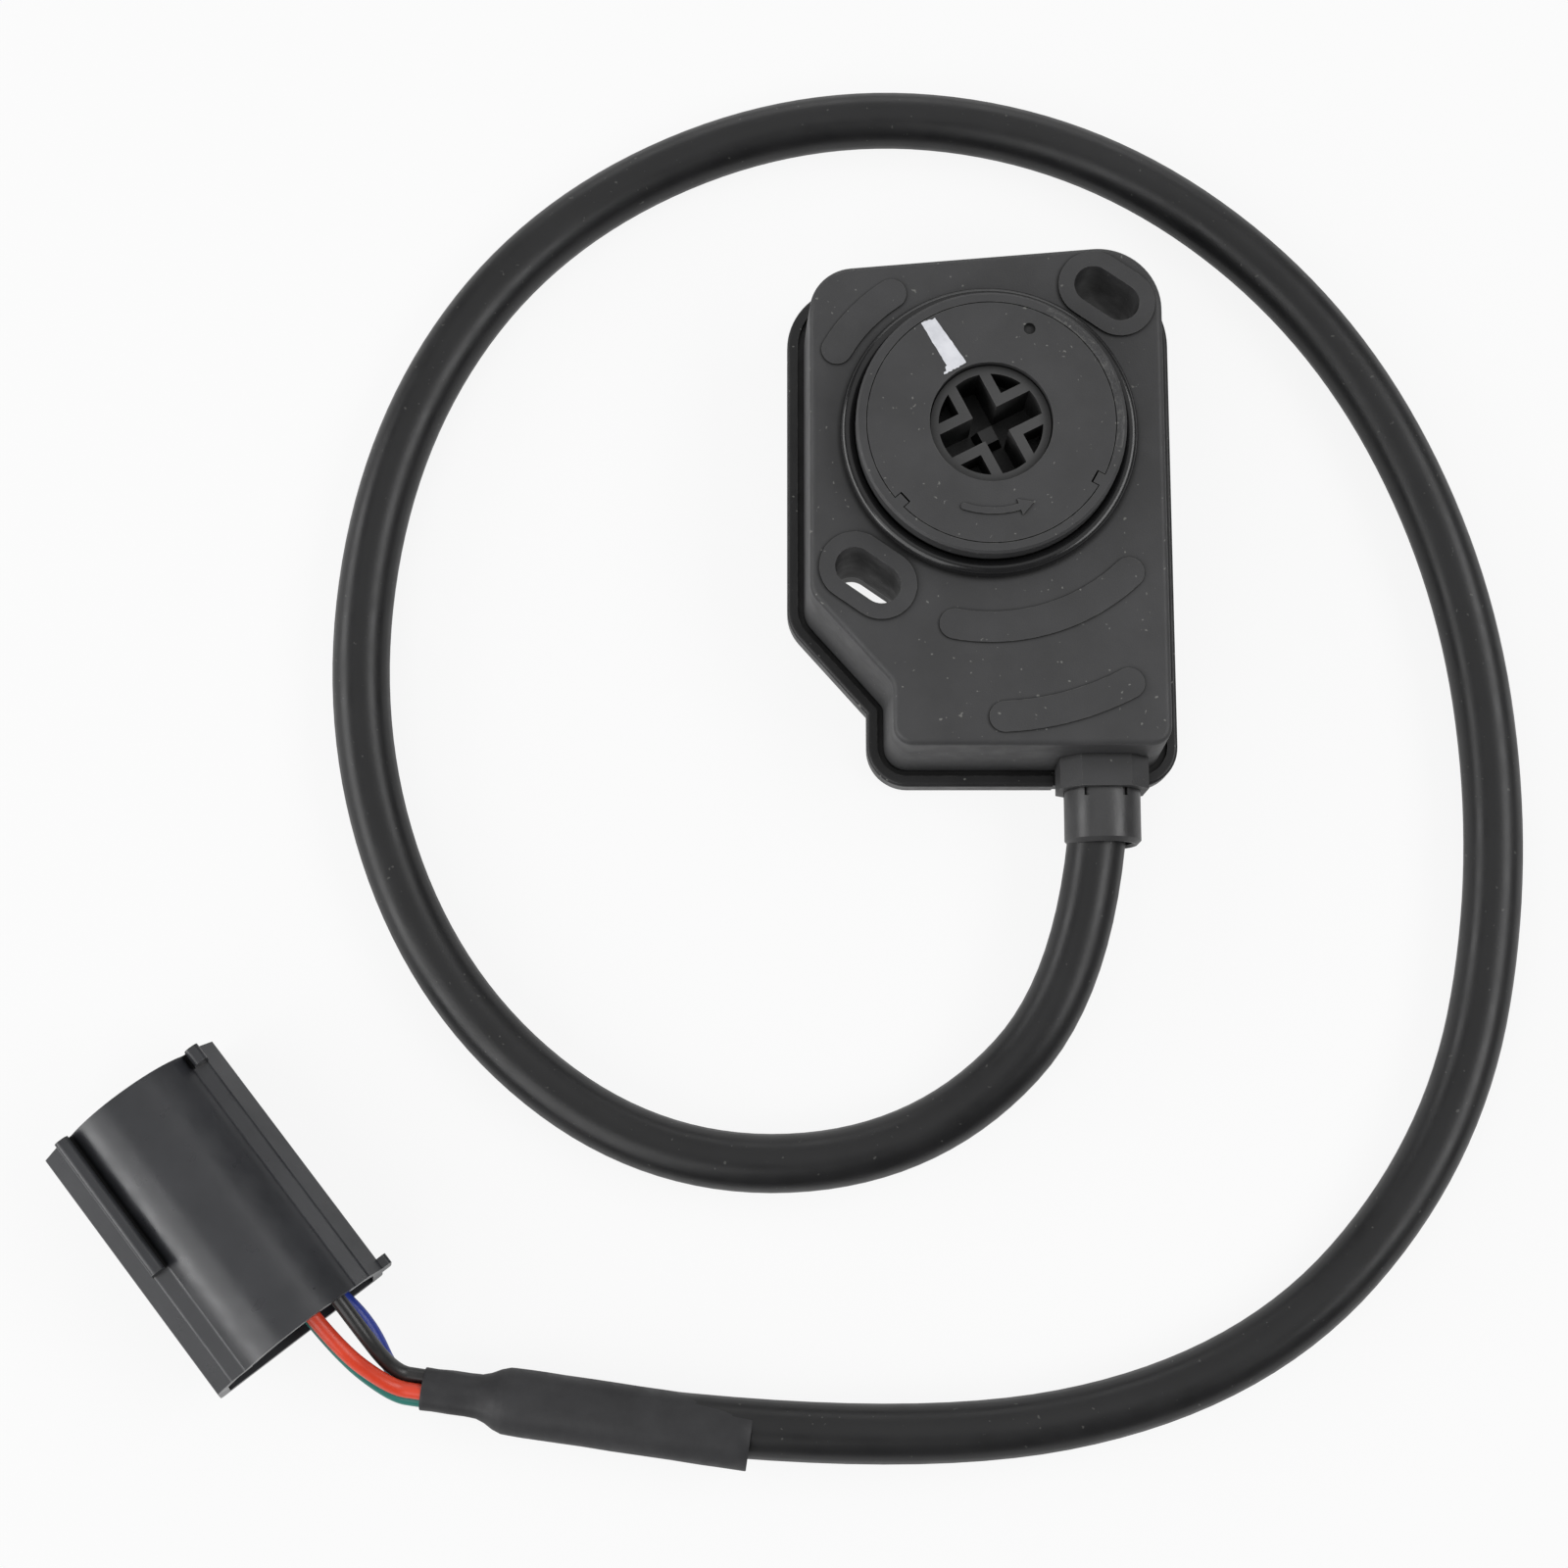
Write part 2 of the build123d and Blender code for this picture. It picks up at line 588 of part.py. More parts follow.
# Collar that closes the neck round the cable
collar_plane = Plane(origin=(OUTLET_X, -NECK_REACH, OUTLET_Z), x_dir=(1, 0, 0), z_dir=(0, -1, 0))
with BuildPart() as cable_collar:
    with BuildSketch(collar_plane):
        Circle(COLLAR_R)
    extrude(amount=COLLAR_LENGTH)
    chamfer(cable_collar.faces().sort_by(Axis.Y)[0].edges(), COLLAR_CHAMFER)
    with BuildSketch(collar_plane):
        with PolarLocations(COLLAR_R, COLLAR_NOTCHES):
            Rectangle(2 * COLLAR_NOTCH_DEPTH, COLLAR_NOTCH_WIDTH)
    extrude(amount=COLLAR_NOTCH_LENGTH, mode=Mode.SUBTRACT)
    with BuildSketch(collar_plane):
        Circle(NECK_BORE_R - SEAT_GAP)
    extrude(amount=-COLLAR_SPIGOT)
    with BuildSketch(collar_plane.offset(-COLLAR_SPIGOT)):
        Circle(CABLE_R + SEAT_GAP)
    extrude(amount=COLLAR_SPIGOT + COLLAR_LENGTH, mode=Mode.SUBTRACT)
    mouth = cable_collar.faces().sort_by(Axis.Y)[0].edges().sort_by(SortBy.RADIUS)[0]
    chamfer(mouth, COLLAR_MOUTH)
cable_collar.part.label = "cable_collar"

# Rubber sleeve in the neck, between the collar's spigot and the hollow
grommet_length = NECK_REACH - COLLAR_SPIGOT - (BODY_FRONT - WALL)
with BuildPart() as cable_grommet:
    with BuildSketch(collar_plane.offset(-COLLAR_SPIGOT)):
        Circle(NECK_BORE_R - SEAT_GAP)
        Circle(CABLE_R + SEAT_GAP, mode=Mode.SUBTRACT)
    extrude(amount=-grommet_length)
cable_grommet.part.label = "cable_grommet"

# Shrunk sleeve over the end of the cable's jacket
sleeve_dir = Vector(cos(radians(SLEEVE_TURN)), sin(radians(SLEEVE_TURN)), 0)
sleeve_start = Vector(*SLEEVE_MOUTH, SLEEVE_R)
jacket_stop = sleeve_start + sleeve_dir * SLEEVE_FULL
sleeve_plane = Plane(origin=sleeve_start, x_dir=sleeve_dir, z_dir=(0, 0, 1))
neck_start = SLEEVE_FULL + SLEEVE_SHOULDER
with BuildPart() as heat_shrink:
    with BuildSketch(sleeve_plane):
        with BuildLine():
            Polyline(
                (0, SLEEVE_R),
                (SLEEVE_FULL, SLEEVE_R),
                (neck_start, SLEEVE_NECK_R),
                (SLEEVE_LENGTH, SLEEVE_NECK_R),
                (SLEEVE_LENGTH, SLEEVE_NECK_R - SLEEVE_WALL),
                (neck_start, SLEEVE_NECK_R - SLEEVE_WALL),
                (SLEEVE_FULL, SLEEVE_R - SLEEVE_WALL),
                (0, SLEEVE_R - SLEEVE_WALL),
                close=True,
            )
        make_face()
    revolve(axis=Axis(sleeve_start, sleeve_dir))
heat_shrink.part.label = "heat_shrink"

# Cable: out of the neck, once round the housing and into the sleeve
CABLE_ROUTE = [
    (OUTLET_X, -JACKET_END, OUTLET_Z),
    (OUTLET_X, -71, OUTLET_Z),
    (-8, -97, CABLE_R),
    (-45, -99, CABLE_R),
    (-75, -76, CABLE_R),
    (-89, -38, CABLE_R),
    (-84, 5, CABLE_R),
    (-62, 37, CABLE_R),
    (-24, 54, CABLE_R),
    (16, 49, CABLE_R),
    (49, 24, CABLE_R),
    (68, -14, CABLE_R),
    (72, -57, CABLE_R),
    (63, -97, CABLE_R),
    (34, -127.5, CABLE_R),
    tuple(sleeve_start - sleeve_dir * SLEEVE_APPROACH),
    tuple(jacket_stop),
]
cable_radii = rounded_route(CABLE_ROUTE, last_reach=SLEEVE_APPROACH)
with BuildPart() as cable:
    with BuildLine():
        cable_line = FilletPolyline(*CABLE_ROUTE, radius=cable_radii)
    with BuildSketch(Plane(cable_line @ 0, z_dir=cable_line % 0)):
        Circle(CABLE_R)
    sweep(path=cable_line)
cable.part.label = "cable"

# Plug: section planes run from the mating face towards the wires
plug_roll = atan2(LATCH_RISE, (PLUG_WIDTH - LATCH_WIDTH) / 2)
plug_dir = Vector(cos(radians(PLUG_TURN)), sin(radians(PLUG_TURN)), 0)
plug_across = Vector(-plug_dir.Y, plug_dir.X, 0) * cos(plug_roll) - Vector(0, 0, sin(plug_roll))
plug_origin = Vector(PLUG_X, PLUG_Y, PLUG_WIDTH / 2 * sin(plug_roll))
plug_plane = Plane(origin=plug_origin, x_dir=plug_across, z_dir=plug_dir)
way_floor = PLUG_LENGTH - WAY_DEPTH
USED_WAYS = {
    "red": (WAY_PITCH / 2, WAY_ROWS[1]),
    "black": (WAY_PITCH * 3 / 2, WAY_ROWS[1]),
    "blue": (WAY_PITCH * 3 / 2, WAY_ROWS[0]),
    "green": (WAY_PITCH / 2, WAY_ROWS[0]),
}


def plug_outline(inset):
    """Draw the plug's section, flat below and arched above, into the sketch that calls this."""
    half = PLUG_WIDTH / 2
    arch = PLUG_ARCH_WIDTH / 2
    slant_top = PLUG_SIDE + PLUG_SLANT_RISE
    with BuildLine() as edge:
        Polyline(
            (-arch, PLUG_ARCH_FOOT),
            (PLUG_SLANT - half, slant_top),
            (-half, PLUG_SIDE),
            (-half, 0),
            (half, 0),
            (half, PLUG_SIDE),
            (half - PLUG_SLANT, slant_top),
            (arch, PLUG_ARCH_FOOT),
        )
        ThreePointArc((arch, PLUG_ARCH_FOOT), (0, PLUG_ARCH_TOP), (-arch, PLUG_ARCH_FOOT))
    make_face(edge.edges())
    if inset:
        offset(amount=-inset, kind=Kind.INTERSECTION)


with BuildPart() as connector_shell:
    with BuildSketch(plug_plane):
        plug_outline(0)
    extrude(amount=PLUG_LENGTH)
    fillet(connector_shell.edges().filter_by(Axis((0, 0, 0), plug_dir)), PLUG_EDGE)
    # Guide rib on one shoulder and a short tab on the other, wire-end lip and latch
    for side, length in ((-1, GUIDE_LENGTH), (1, TAB_LENGTH)):
        with BuildSketch(plug_plane):
            with Locations((side * GUIDE_OFFSET, GUIDE_ROOT)):
                Rectangle(GUIDE_WIDTH, GUIDE_TOP - GUIDE_ROOT, align=(Align.CENTER, Align.MIN))
            fillet(vertices().group_by(Axis.Y)[-1], GUIDE_ROUND)
        extrude(amount=length)
    with BuildSketch(plug_plane.offset(PLUG_LENGTH - LIP_THICK)):
        with Locations((PLUG_WIDTH / 2 - PLUG_WALL, LIP_FOOT)):
            Rectangle(PLUG_WALL + LIP_REACH, PLUG_SIDE - LIP_FOOT, align=(Align.MIN, Align.MIN))
        fillet(vertices(), LIP_ROUND)
    extrude(amount=LIP_THICK)
    with BuildSketch(plug_plane.offset(LATCH_START)):
        Rectangle(LATCH_WIDTH, 2 * LATCH_RISE)
    extrude(amount=LATCH_LENGTH)
    # Mating shroud and hollow wire end, then a pocket for each way and a slit for each blade
    with BuildSketch(plug_plane):
        plug_outline(PLUG_WALL)
    extrude(amount=SHROUD_DEPTH, mode=Mode.SUBTRACT)
    with BuildSketch(plug_plane.offset(PLUG_LENGTH - SKIRT_DEPTH)):
        plug_outline(PLUG_WALL)
    extrude(amount=SKIRT_DEPTH, mode=Mode.SUBTRACT)
    with BuildSketch(plug_plane.offset(way_floor)):
        for row in WAY_ROWS:
            with Locations((0, row)):
                with GridLocations(WAY_PITCH, 0, WAYS_IN_ROW, 1):
                    Rectangle(WAY_SIDE, WAY_SIDE)
    extrude(amount=WAY_DEPTH, mode=Mode.SUBTRACT)
    with BuildSketch(plug_plane.offset(SHROUD_DEPTH)):
        with Locations(*USED_WAYS.values()):
            Rectangle(BLADE_WIDTH + 2 * SEAT_GAP, BLADE_THICK + 2 * SEAT_GAP)
    extrude(amount=way_floor - SHROUD_DEPTH, mode=Mode.SUBTRACT)
connector_shell.part.label = "connector_shell"

# Four blade terminals, each with its crimp barrel against the pocket's floor
with BuildPart() as connector_pins:
    with BuildSketch(plug_plane.offset(SHROUD_DEPTH - BLADE_FREE)):
        with Locations(*USED_WAYS.values()):
            Rectangle(BLADE_WIDTH, BLADE_THICK)
    extrude(amount=way_floor - SHROUD_DEPTH + BLADE_FREE)
    with BuildSketch(plug_plane.offset(way_floor)):
        with Locations(*USED_WAYS.values()):
            Rectangle(BARREL_SIDE, BARREL_SIDE)
    extrude(amount=BARREL_LENGTH)
connector_pins.part.label = "connector_pins"

# Single wires from the jacket's end, through the sleeve's neck, to the crimp barrels
sleeve_side = Vector(-sleeve_dir.Y, sleeve_dir.X, 0) * -1
bundle = WIRE_R + SEAT_GAP
bundle_r = bundle / sin(radians(45))


def wire_route(colour):
    """Give the points of one wire, from the jacket's end to its crimp barrel."""
    turn = radians(BUNDLE_ANGLES[colour])
    place = (sleeve_side * cos(turn) + Vector(0, 0, sin(turn))) * bundle_r
    way_x, way_y = USED_WAYS[colour]
    start = jacket_stop + place
    bend = start + sleeve_dir * (SLEEVE_LENGTH - SLEEVE_FULL + LEAD_OUT)
    lean = WIRE_LEAN[colour]
    entry = plug_plane.from_local_coords(Vector(way_x + lean, way_y, PLUG_LENGTH + LEAD_IN))
    mouth = plug_plane.from_local_coords(Vector(way_x, way_y, PLUG_LENGTH - SKIRT_DEPTH))
    stop = plug_plane.from_local_coords(Vector(way_x, way_y, way_floor + BARREL_LENGTH))
    way_in = [entry, mouth, stop] if lean else [entry, stop]
    return [tuple(point) for point in (start, bend, *way_in)]


def make_wire(colour):
    """Sweep one wire along its route."""
    route = wire_route(colour)
    radii = rounded_route(route, first_reach=LEAD_OUT)
    print("wire", colour, "corner radii", [round(r, 1) for r in radii])
    with BuildPart() as wire:
        with BuildLine():
            path = FilletPolyline(*route, radius=radii)
        with BuildSketch(Plane(path @ 0, z_dir=path % 0)):
            Circle(WIRE_R)
        sweep(path=path)
    print("wire", colour, "length", round(path.length, 1))
    wire.part.label = "wire_" + colour
    return wire


wires = [make_wire(colour) for colour in USED_WAYS]

# Cable cores inside the housing, from the jacket's inner end to the board's pins
core_height = BOARD_TOP + WIRE_R + INNER_LIFT
pin_face = TERMINAL_Y - TERMINAL_SIDE / 2
CORE_PLACES = [(-1, -1), (-1, 1), (1, 1), (1, -1)]
with BuildPart() as inner_leads:
    for number, (across, up) in enumerate(CORE_PLACES):
        core_x = OUTLET_X + across * bundle
        core_z = OUTLET_Z + up * bundle
        pin_x = OUTLET_X + (number - (TERMINALS - 1) / 2) * TERMINAL_PITCH
        pin_z = core_height + INNER_STEP * max(up, 0)
        with BuildLine():
            core_line = FilletPolyline(
                (core_x, -JACKET_END, core_z),
                (core_x, -JACKET_END + INNER_STRAIGHT, core_z),
                (pin_x, pin_face - INNER_APPROACH, pin_z),
                (pin_x, pin_face, pin_z),
                radius=INNER_BEND,
            )
        with BuildSketch(Plane(core_line @ 0, z_dir=core_line % 0)):
            Circle(WIRE_R)
        sweep(path=core_line)
inner_leads.part.label = "inner_leads"

print("cable corner radii", [round(r, 1) for r in cable_radii])
print("cable length", round(cable_line.length, 1))
print("cable volume over section", round(cable.part.volume / (pi * CABLE_R**2), 1))

PIECES = [
    housing,
    base_tray,
    tray_gasket,
    face_disc,
    turret_ring,
    rotor,
    rotor_seal,
    wiper_carrier,
    wiper_contacts,
    return_spring,
    track_board,
    board_screws,
    board_terminals,
    inner_leads,
    cable_grommet,
    cable_collar,
    cable,
    heat_shrink,
    *wires,
    connector_shell,
    connector_pins,
]
for piece in PIECES:
    export_step(piece.part, f"parts/{piece.part.label}.step")
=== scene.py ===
"""Dresses the pedal sensor: cords, sleeve, paint mark, weld flash, saddle and every piece's finish.

Lengths are written in millimetres and turned into metres by mm(). Places are in the part's frame.
The floor and the lamps are laid out in metres.
"""

import math

import bmesh
import bpy
from mathutils import Matrix, Vector, noise


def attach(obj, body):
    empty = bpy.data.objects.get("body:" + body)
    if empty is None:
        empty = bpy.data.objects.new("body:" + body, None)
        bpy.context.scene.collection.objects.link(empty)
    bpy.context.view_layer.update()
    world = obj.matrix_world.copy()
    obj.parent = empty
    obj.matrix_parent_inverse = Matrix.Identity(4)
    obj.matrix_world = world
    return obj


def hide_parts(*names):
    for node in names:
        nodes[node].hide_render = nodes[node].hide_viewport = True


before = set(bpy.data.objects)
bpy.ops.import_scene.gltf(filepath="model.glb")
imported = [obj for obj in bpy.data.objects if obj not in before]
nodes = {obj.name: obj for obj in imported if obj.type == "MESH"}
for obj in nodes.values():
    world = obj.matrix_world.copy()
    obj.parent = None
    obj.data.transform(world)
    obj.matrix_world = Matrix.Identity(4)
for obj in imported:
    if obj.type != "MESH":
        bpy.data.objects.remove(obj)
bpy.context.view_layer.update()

MM_PER_METRE = 1000


def mm(*values):
    """Millimetres to metres: one number, or a point."""
    metres = [value / MM_PER_METRE for value in values]
    return metres[0] if len(metres) == 1 else Vector(metres)


def add_object(name, data):
    """Put an object made of the data at the scene's origin."""
    piece = bpy.data.objects.new(name, data)
    bpy.context.scene.collection.objects.link(piece)
    return piece


def add_mesh(name, shape):
    """Turn a finished bmesh into an object at the origin."""
    mesh = bpy.data.meshes.new(name)
    shape.to_mesh(mesh)
    shape.free()
    return add_object(name, mesh)


def shade_smooth(piece, angle):
    """Shade a piece smooth, apart from edges sharper than the angle in degrees."""
    mesh = piece.data
    mesh.shade_smooth()
    mesh.set_sharp_from_angle(angle=math.radians(angle))


def extrude_faces(shape):
    """Extrude all faces together and give the vertices of the new side."""
    side = bmesh.ops.extrude_face_region(shape, geom=shape.faces[:])
    return [item for item in side["geom"] if isinstance(item, bmesh.types.BMVert)]


# Camera: near overhead, leaning towards the cable outlet

CAMERA_PLACE = mm(-27.84, -104.53, 355.07)
CAMERA_LOOK = Vector((0, 0.165, -0.9863))
CAMERA_LENS = 58.7
CAMERA_SENSOR = 36
CAMERA_NEAR = mm(10)


def place_camera():
    """Put the camera where the photograph was taken from."""
    data = bpy.data.cameras.new("camera")
    data.lens = CAMERA_LENS
    data.sensor_width = CAMERA_SENSOR
    data.sensor_fit = "HORIZONTAL"
    data.clip_start = CAMERA_NEAR
    camera = add_object("camera", data)
    camera.location = CAMERA_PLACE
    camera.rotation_euler = CAMERA_LOOK.to_track_quat("-Z", "Y").to_euler()
    bpy.context.scene.camera = camera


place_camera()


# Cords, on the same route points as the solids

CABLE_D = 8.0
CABLE_LIES = CABLE_D / 2
WIRE_D = 2.1
CORD_ARC_STEPS = 7
CORD_RUN_STEPS = 14
CORD_ORDER = 3
OUTLET_X = 15.9
OUTLET_Z = 7.9
SLEEVE_R = 4.5
SLEEVE_MOUTH = Vector((-32.3, -134.2, SLEEVE_R))
SLEEVE_TURN = math.radians(171.7)
SLEEVE_DIR = Vector((math.cos(SLEEVE_TURN), math.sin(SLEEVE_TURN), 0))
SLEEVE_LENGTH = 44.2

CABLE_ROUTE = [
    (OUTLET_X, -38, OUTLET_Z),
    (OUTLET_X, -71, OUTLET_Z),
    (-8, -97, CABLE_LIES),
    (-45, -99, CABLE_LIES),
    (-75, -76, CABLE_LIES),
    (-89, -38, CABLE_LIES),
    (-84, 5, CABLE_LIES),
    (-62, 37, CABLE_LIES),
    (-24, 54, CABLE_LIES),
    (16, 49, CABLE_LIES),
    (49, 24, CABLE_LIES),
    (68, -14, CABLE_LIES),
    (72, -57, CABLE_LIES),
    (63, -97, CABLE_LIES),
    (34, -127.5, CABLE_LIES),
    (-16.07, -136.57, SLEEVE_R),
    (-65.45, -129.36, SLEEVE_R),
]
# The second point of each wire is at the sleeve's end, to keep the wire straight in its neck
WIRE_ROUTES = {
    "wire_red": [
        (-65.51, -129.76, 6.0),
        (-76.1, -128.22, 6.0),
        (-80.25, -127.61, 6.0),
        (-86.99, -121.63, 13.04),
        (-94.44, -112.23, 13.04),
    ],
    "wire_black": [
        (-65.23, -127.88, 4.9),
        (-75.82, -126.34, 4.9),
        (-79.98, -125.73, 4.9),
        (-83.92, -119.2, 12.23),
        (-91.37, -109.79, 12.23),
    ],
    "wire_blue": [
        (-65.39, -128.97, 3.0),
        (-75.98, -127.43, 3.0),
        (-80.13, -126.81, 3.0),
        (-83.38, -118.77, 6.16),
        (-90.43, -112.87, 6.55),
        (-92.29, -110.52, 6.55),
    ],
    "wire_green": [
        (-65.67, -130.85, 4.1),
        (-76.26, -129.31, 4.1),
        (-80.41, -128.7, 4.1),
        (-87.91, -122.36, 7.35),
        (-95.36, -112.96, 7.35),
    ],
}


def lay_cord(name, route, diameter):
    """Make a round cord on a smooth spline.

    The bevel's depth is 1, so that the radius of each point is the cord's own.
    """
    curve = bpy.data.curves.new(name, "CURVE")
    curve.dimensions = "3D"
    curve.bevel_depth = 1.0
    curve.bevel_resolution = CORD_ARC_STEPS
    curve.resolution_u = CORD_RUN_STEPS
    curve.use_fill_caps = True
    spline = curve.splines.new("NURBS")
    spline.points.add(len(route) - 1)
    for point, place in zip(spline.points, route):
        point.co = (*mm(*place), 1)
        point.radius = mm(diameter) / 2
    spline.order_u = CORD_ORDER
    spline.use_endpoint_u = True
    return add_object(name, curve)


cable = lay_cord("cable_jacket", CABLE_ROUTE, CABLE_D)
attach(cable, "housing")
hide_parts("cable")

wires = {}
for node_name, route in WIRE_ROUTES.items():
    wire = lay_cord(node_name + "_insulation", route, WIRE_D)
    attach(wire, "housing")
    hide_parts(node_name)
    wires[node_name] = wire


# Shrunk sleeve: spun from its profile, then wrinkled where it closes on the wires

SLEEVE_WALL = 0.35
SLEEVE_NECK_R = 3.0
SLEEVE_STEPS = 72
SLEEVE_CUTS = 3
SLEEVE_MERGE = 0.0001
SLEEVE_SHARP = 50
SLEEVE_PROFILE = [
    (0.0, SLEEVE_R - SLEEVE_WALL),
    (0.0, SLEEVE_R - 0.08),
    (0.12, SLEEVE_R),
    (8.0, SLEEVE_R),
    (16.0, SLEEVE_R),
    (24.0, SLEEVE_R),
    (30.0, SLEEVE_R),
    (33.0, SLEEVE_R - 0.05),
    (34.2, 4.1),
    (35.4, 3.5),
    (36.6, 3.12),
    (38.2, 3.0),
    (40.4, 3.02),
    (42.6, 2.96),
    (44.1, 3.0),
    (SLEEVE_LENGTH, 2.95),
    (SLEEVE_LENGTH, SLEEVE_NECK_R - SLEEVE_WALL),
]
CLOSING_START = 32
CLOSING_RUN = 5
LOBES = 4
LOBE_DEPTH = 0.16
RIPPLES_ALONG = 0.25
RIPPLES_ROUND = 2
RIPPLE_DEPTH = 0.05
RIPPLE_CLOSING = 0.12
SLEEVE_SHRINK = 0.05
SLEEVE_SWELL = 0.02


def sleeve_wrinkle(along, angle):
    """How far the skin stands off its profile: lobes and ripples, deepest where it closes."""
    closing = min(max((along - CLOSING_START) / CLOSING_RUN, 0), 1)
    lobes = LOBE_DEPTH * closing * math.cos(LOBES * angle + math.pi)
    across = RIPPLES_ROUND * math.cos(angle)
    up = RIPPLES_ROUND * math.sin(angle)
    ripple = noise.noise(Vector((along * RIPPLES_ALONG, across, up)))
    depth = RIPPLE_DEPTH + RIPPLE_CLOSING * closing
    return min(lobes + depth * ripple - SLEEVE_SHRINK, SLEEVE_SWELL)


def make_sleeve():
    """Spin the sleeve's outer skin and press its closing end over the wires."""
    shape = bmesh.new()
    profile = [shape.verts.new(mm(along, radius, 0)) for along, radius in SLEEVE_PROFILE]
    edges = [shape.edges.new(pair) for pair in zip(profile, profile[1:])]
    bmesh.ops.subdivide_edges(shape, edges=edges, cuts=SLEEVE_CUTS)
    bmesh.ops.spin(
        shape,
        geom=shape.verts[:] + shape.edges[:],
        cent=(0, 0, 0),
        axis=(1, 0, 0),
        angle=math.tau,
        steps=SLEEVE_STEPS,
        use_merge=True,
    )
    bmesh.ops.remove_doubles(shape, verts=shape.verts, dist=mm(SLEEVE_MERGE))
    bmesh.ops.recalc_face_normals(shape, faces=shape.faces)
    for vert in shape.verts:
        angle = math.atan2(vert.co.z, vert.co.y)
        radial = Vector((0, vert.co.y, vert.co.z)).normalized()
        vert.co += radial * mm(sleeve_wrinkle(vert.co.x * MM_PER_METRE, angle))
    side = Vector((0, 0, 1)).cross(SLEEVE_DIR)
    turn = Matrix((SLEEVE_DIR, side, (0, 0, 1))).transposed().to_4x4()
    place = Matrix.Translation(mm(*SLEEVE_MOUTH)) @ turn
    bmesh.ops.transform(shape, matrix=place, verts=shape.verts)
    piece = add_mesh("shrunk_sleeve", shape)
    shade_smooth(piece, SLEEVE_SHARP)
    return piece


sleeve = make_sleeve()
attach(sleeve, "housing")
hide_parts("heat_shrink")


# Paint mark across the face disc

FACE_Z = 25.0
FILM_LIFT = 0.01
PAINT_CORNERS = [
    (-9.35, 13.75),
    (-7.45, 14.45),
    (-3.25, 8.2),
    (-4.9, 7.25),
    (-6.3, 6.5),
    (-5.95, 7.8),
]
PAINT_THICK = 0.05
PAINT_CUTS = 14
PAINT_RAGGED = 0.16
PAINT_RAGGED_SCALE = 2600
PAINT_SLANT = -0.75


def make_paint_mark():
    """Lay a brushed film of paint from the disc's rim to the rotor's bore."""
    shape = bmesh.new()
    corners = [shape.verts.new(mm(x, y, FACE_Z + FILM_LIFT)) for x, y in PAINT_CORNERS]
    shape.faces.new(corners)
    bmesh.ops.subdivide_edges(shape, edges=shape.edges, cuts=PAINT_CUTS)
    for vert in shape.verts:
        ragged = mm(PAINT_RAGGED) * noise.noise(vert.co * PAINT_RAGGED_SCALE)
        vert.co += Vector((ragged, PAINT_SLANT * ragged, 0))
    bmesh.ops.triangulate(shape, faces=shape.faces)
    top = extrude_faces(shape)
    bmesh.ops.translate(shape, verts=top, vec=(0, 0, mm(PAINT_THICK)))
    bmesh.ops.recalc_face_normals(shape, faces=shape.faces)
    return add_mesh("paint_mark", shape)


paint = make_paint_mark()
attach(paint, "housing")


# Weld flash: the melted rim beside the disc's seam

FLASH_INNER_R = 16.88
FLASH_OUTER_R = 17.82
FLASH_START = math.radians(-12)
FLASH_SWEEP = math.radians(76)
FLASH_ROWS = 9
FLASH_STEPS = 220
FLASH_SHARP = 60
FLASH_RISE = 0.3
FLASH_FADE = 0.18
FLASH_MEAN = 0.55
FLASH_COARSE = 0.9
FLASH_COARSE_SCALE = 900
FLASH_FINE = 0.5
FLASH_FINE_SCALE = 3600


def flash_rise(across, along, place):
    """Height of the flash: a rough bead that dies out at its sides and ends."""
    ends = min(along, 1 - along) / FLASH_FADE
    bead = math.sin(math.pi * across) * min(max(ends, 0), 1)
    coarse = FLASH_MEAN + FLASH_COARSE * noise.noise(place * FLASH_COARSE_SCALE)
    fine = FLASH_FINE * noise.noise(place * FLASH_FINE_SCALE)
    return FLASH_RISE * bead * max(coarse + fine, 0)


def make_weld_flash():
    """Spin a narrow strip round the rim, close it below and roughen its top."""
    shape = bmesh.new()
    ends = [shape.verts.new(mm(radius, 0, FACE_Z)) for radius in (FLASH_INNER_R, FLASH_OUTER_R)]
    strip = shape.edges.new(ends)
    bmesh.ops.subdivide_edges(shape, edges=[strip], cuts=FLASH_ROWS)
    begin = Matrix.Rotation(FLASH_START, 3, "Z")
    bmesh.ops.rotate(shape, cent=(0, 0, 0), matrix=begin, verts=shape.verts)
    bmesh.ops.spin(
        shape,
        geom=shape.verts[:] + shape.edges[:],
        cent=(0, 0, 0),
        axis=(0, 0, 1),
        angle=FLASH_SWEEP,
        steps=FLASH_STEPS,
    )
    for vert in extrude_faces(shape):
        radius = vert.co.xy.length * MM_PER_METRE
        across = (radius - FLASH_INNER_R) / (FLASH_OUTER_R - FLASH_INNER_R)
        along = (math.atan2(vert.co.y, vert.co.x) - FLASH_START) / FLASH_SWEEP
        vert.co.z += mm(FILM_LIFT + flash_rise(across, along, vert.co))
    bmesh.ops.recalc_face_normals(shape, faces=shape.faces)
    piece = add_mesh("weld_flash", shape)
    shade_smooth(piece, FLASH_SHARP)
    return piece


weld = make_weld_flash()
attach(weld, "housing")


# Saddle that closes the tray's notch under the cable neck

